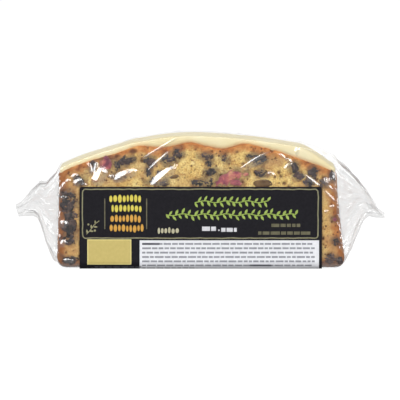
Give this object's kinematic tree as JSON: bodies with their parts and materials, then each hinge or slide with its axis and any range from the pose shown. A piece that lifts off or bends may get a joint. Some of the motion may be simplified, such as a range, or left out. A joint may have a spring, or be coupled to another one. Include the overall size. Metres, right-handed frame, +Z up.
{
  "type": "marzipan-iced fruit cake slab in a clear flow-wrap pack",
  "caption": "Slab of fruit cake with a domed marzipan top, sealed in clear film with gathered ends and a dark label bent under the base.",
  "frame": {"origin": "bottom centre of the whole pack's box, on the surface the pack stands on", "axes": "+X along the pack, from one gathered end to the other; +Y from the labelled front to the back; +Z up"},
  "size_m": [0.2058, 0.0564, 0.0741],
  "materials": {
    "crumb": "open golden crumb with dried fruit, browned crust at the ends, base and top",
    "marzipan": "smooth pale cream almond paste",
    "film": "clear glossy plastic film, creased and gathered",
    "label_print": "satin printed paper label, near black with a white panel and a gold field"
  },
  "bodies": {
    "root": {"cake": "crumb", "marzipan": "marzipan", "bag": "film", "label": "label_print"}
  },
  "joints": []
}
